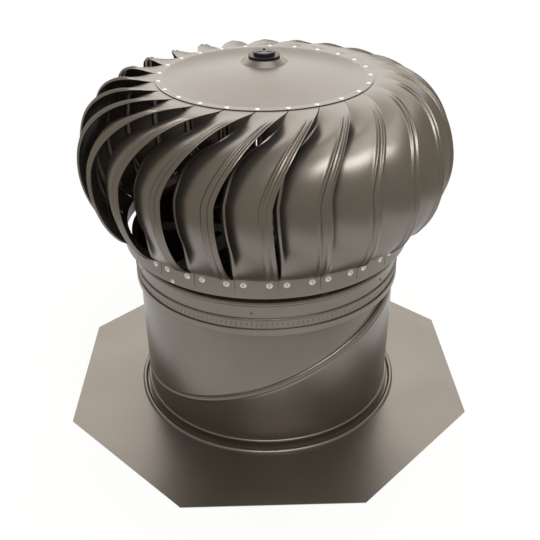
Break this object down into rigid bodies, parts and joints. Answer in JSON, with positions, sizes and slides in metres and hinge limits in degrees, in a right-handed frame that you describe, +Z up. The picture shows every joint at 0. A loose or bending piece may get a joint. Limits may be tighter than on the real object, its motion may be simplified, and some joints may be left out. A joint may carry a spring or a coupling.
{
  "type": "roof turbine ventilator",
  "caption": "Wind-driven roof ventilator: a vaned turbine rotor on a swivelling pitch collar and an octagonal roof flashing.",
  "frame": {"origin": "centre of the underside of the roof flashing", "axes": "+Z up along the rotor axis with the base set for a flat roof; +X towards the high side of the swivel seam"},
  "size_m": [0.48, 0.48, 0.4198],
  "materials": {
    "bronze_paint": "satin dark bronze coating on thin steel sheet",
    "rivet_aluminium": "bright blind rivets",
    "hub_plastic": "black moulded bearing housing",
    "cap_plastic": "black moulded cap",
    "plated_steel": "zinc plated",
    "bearing_steel": "ground and polished",
    "galvanised_steel": "galvanised strip"
  },
  "bodies": {
    "base": {"flashing_plate": "bronze_paint", "lower_tube": "bronze_paint"},
    "head": {"upper_tube": "bronze_paint", "throat_collar": "bronze_paint", "brace_arms": "bearing_steel", "brace_rivets": "rivet_aluminium", "brace_hub": "bearing_steel", "hub_bolts": "plated_steel", "spindle": "plated_steel", "spindle_lower_nut": "plated_steel", "spindle_upper_nut": "plated_steel", "spindle_spacer": "plated_steel", "lower_inner_race": "bearing_steel", "lower_circlip": "plated_steel", "upper_inner_race": "bearing_steel", "upper_circlip": "plated_steel"},
    "upper_ball_set": {"upper_balls": "bearing_steel", "upper_cage": "bearing_steel"},
    "lower_ball_set": {"lower_balls": "bearing_steel", "lower_cage": "bearing_steel"},
    "rotor": {"crown_disc": "bronze_paint", "crown_rivets": "rivet_aluminium", "rotor_ring": "bronze_paint", "ring_rivets": "rivet_aluminium", "spider_arms": "galvanised_steel", "spider_rivets": "rivet_aluminium", "spider_hub_rivets": "rivet_aluminium", "lower_bearing_housing": "galvanised_steel", "lower_outer_race": "bearing_steel", "upper_outer_race": "bearing_steel", "upper_bearing_housing": "hub_plastic", "housing_retainer": "plated_steel", "hub_cap": "cap_plastic", "vane_01": "bronze_paint", "vane_02": "bronze_paint", "vane_03": "bronze_paint", "vane_04": "bronze_paint", "vane_05": "bronze_paint", "vane_06": "bronze_paint", "vane_07": "bronze_paint", "vane_08": "bronze_paint", "vane_09": "bronze_paint", "vane_10": "bronze_paint", "vane_11": "bronze_paint", "vane_12": "bronze_paint", "vane_13": "bronze_paint", "vane_14": "bronze_paint", "vane_15": "bronze_paint", "vane_16": "bronze_paint", "vane_17": "bronze_paint", "vane_18": "bronze_paint", "vane_19": "bronze_paint", "vane_20": "bronze_paint", "vane_21": "bronze_paint", "vane_22": "bronze_paint", "vane_23": "bronze_paint", "vane_24": "bronze_paint"}
  },
  "joints": [
    {"name": "pitch_swivel", "type": "hinge", "parent": "base", "child": "head", "pos_m": [0, 0, 0.097], "axis": [-0.3827, 0, 0.9239], "range_deg": [-180, 180]},
    {"name": "rotor_spin", "type": "hinge", "parent": "head", "child": "rotor", "pos_m": [0, 0, 0.3], "axis": [0, 0, 1], "continuous": true},
    {"name": "upper_ball_orbit", "type": "hinge", "parent": "head", "child": "upper_ball_set", "pos_m": [0, 0, 0.4075], "axis": [0, 0, 1], "continuous": true},
    {"name": "lower_ball_orbit", "type": "hinge", "parent": "head", "child": "lower_ball_set", "pos_m": [0, 0, 0.2269], "axis": [0, 0, 1], "continuous": true}
  ],
  "couplings": [
    {"joint": "upper_ball_orbit", "follows": "rotor_spin", "ratio": 0.632},
    {"joint": "lower_ball_orbit", "follows": "rotor_spin", "ratio": 0.632}
  ]
}
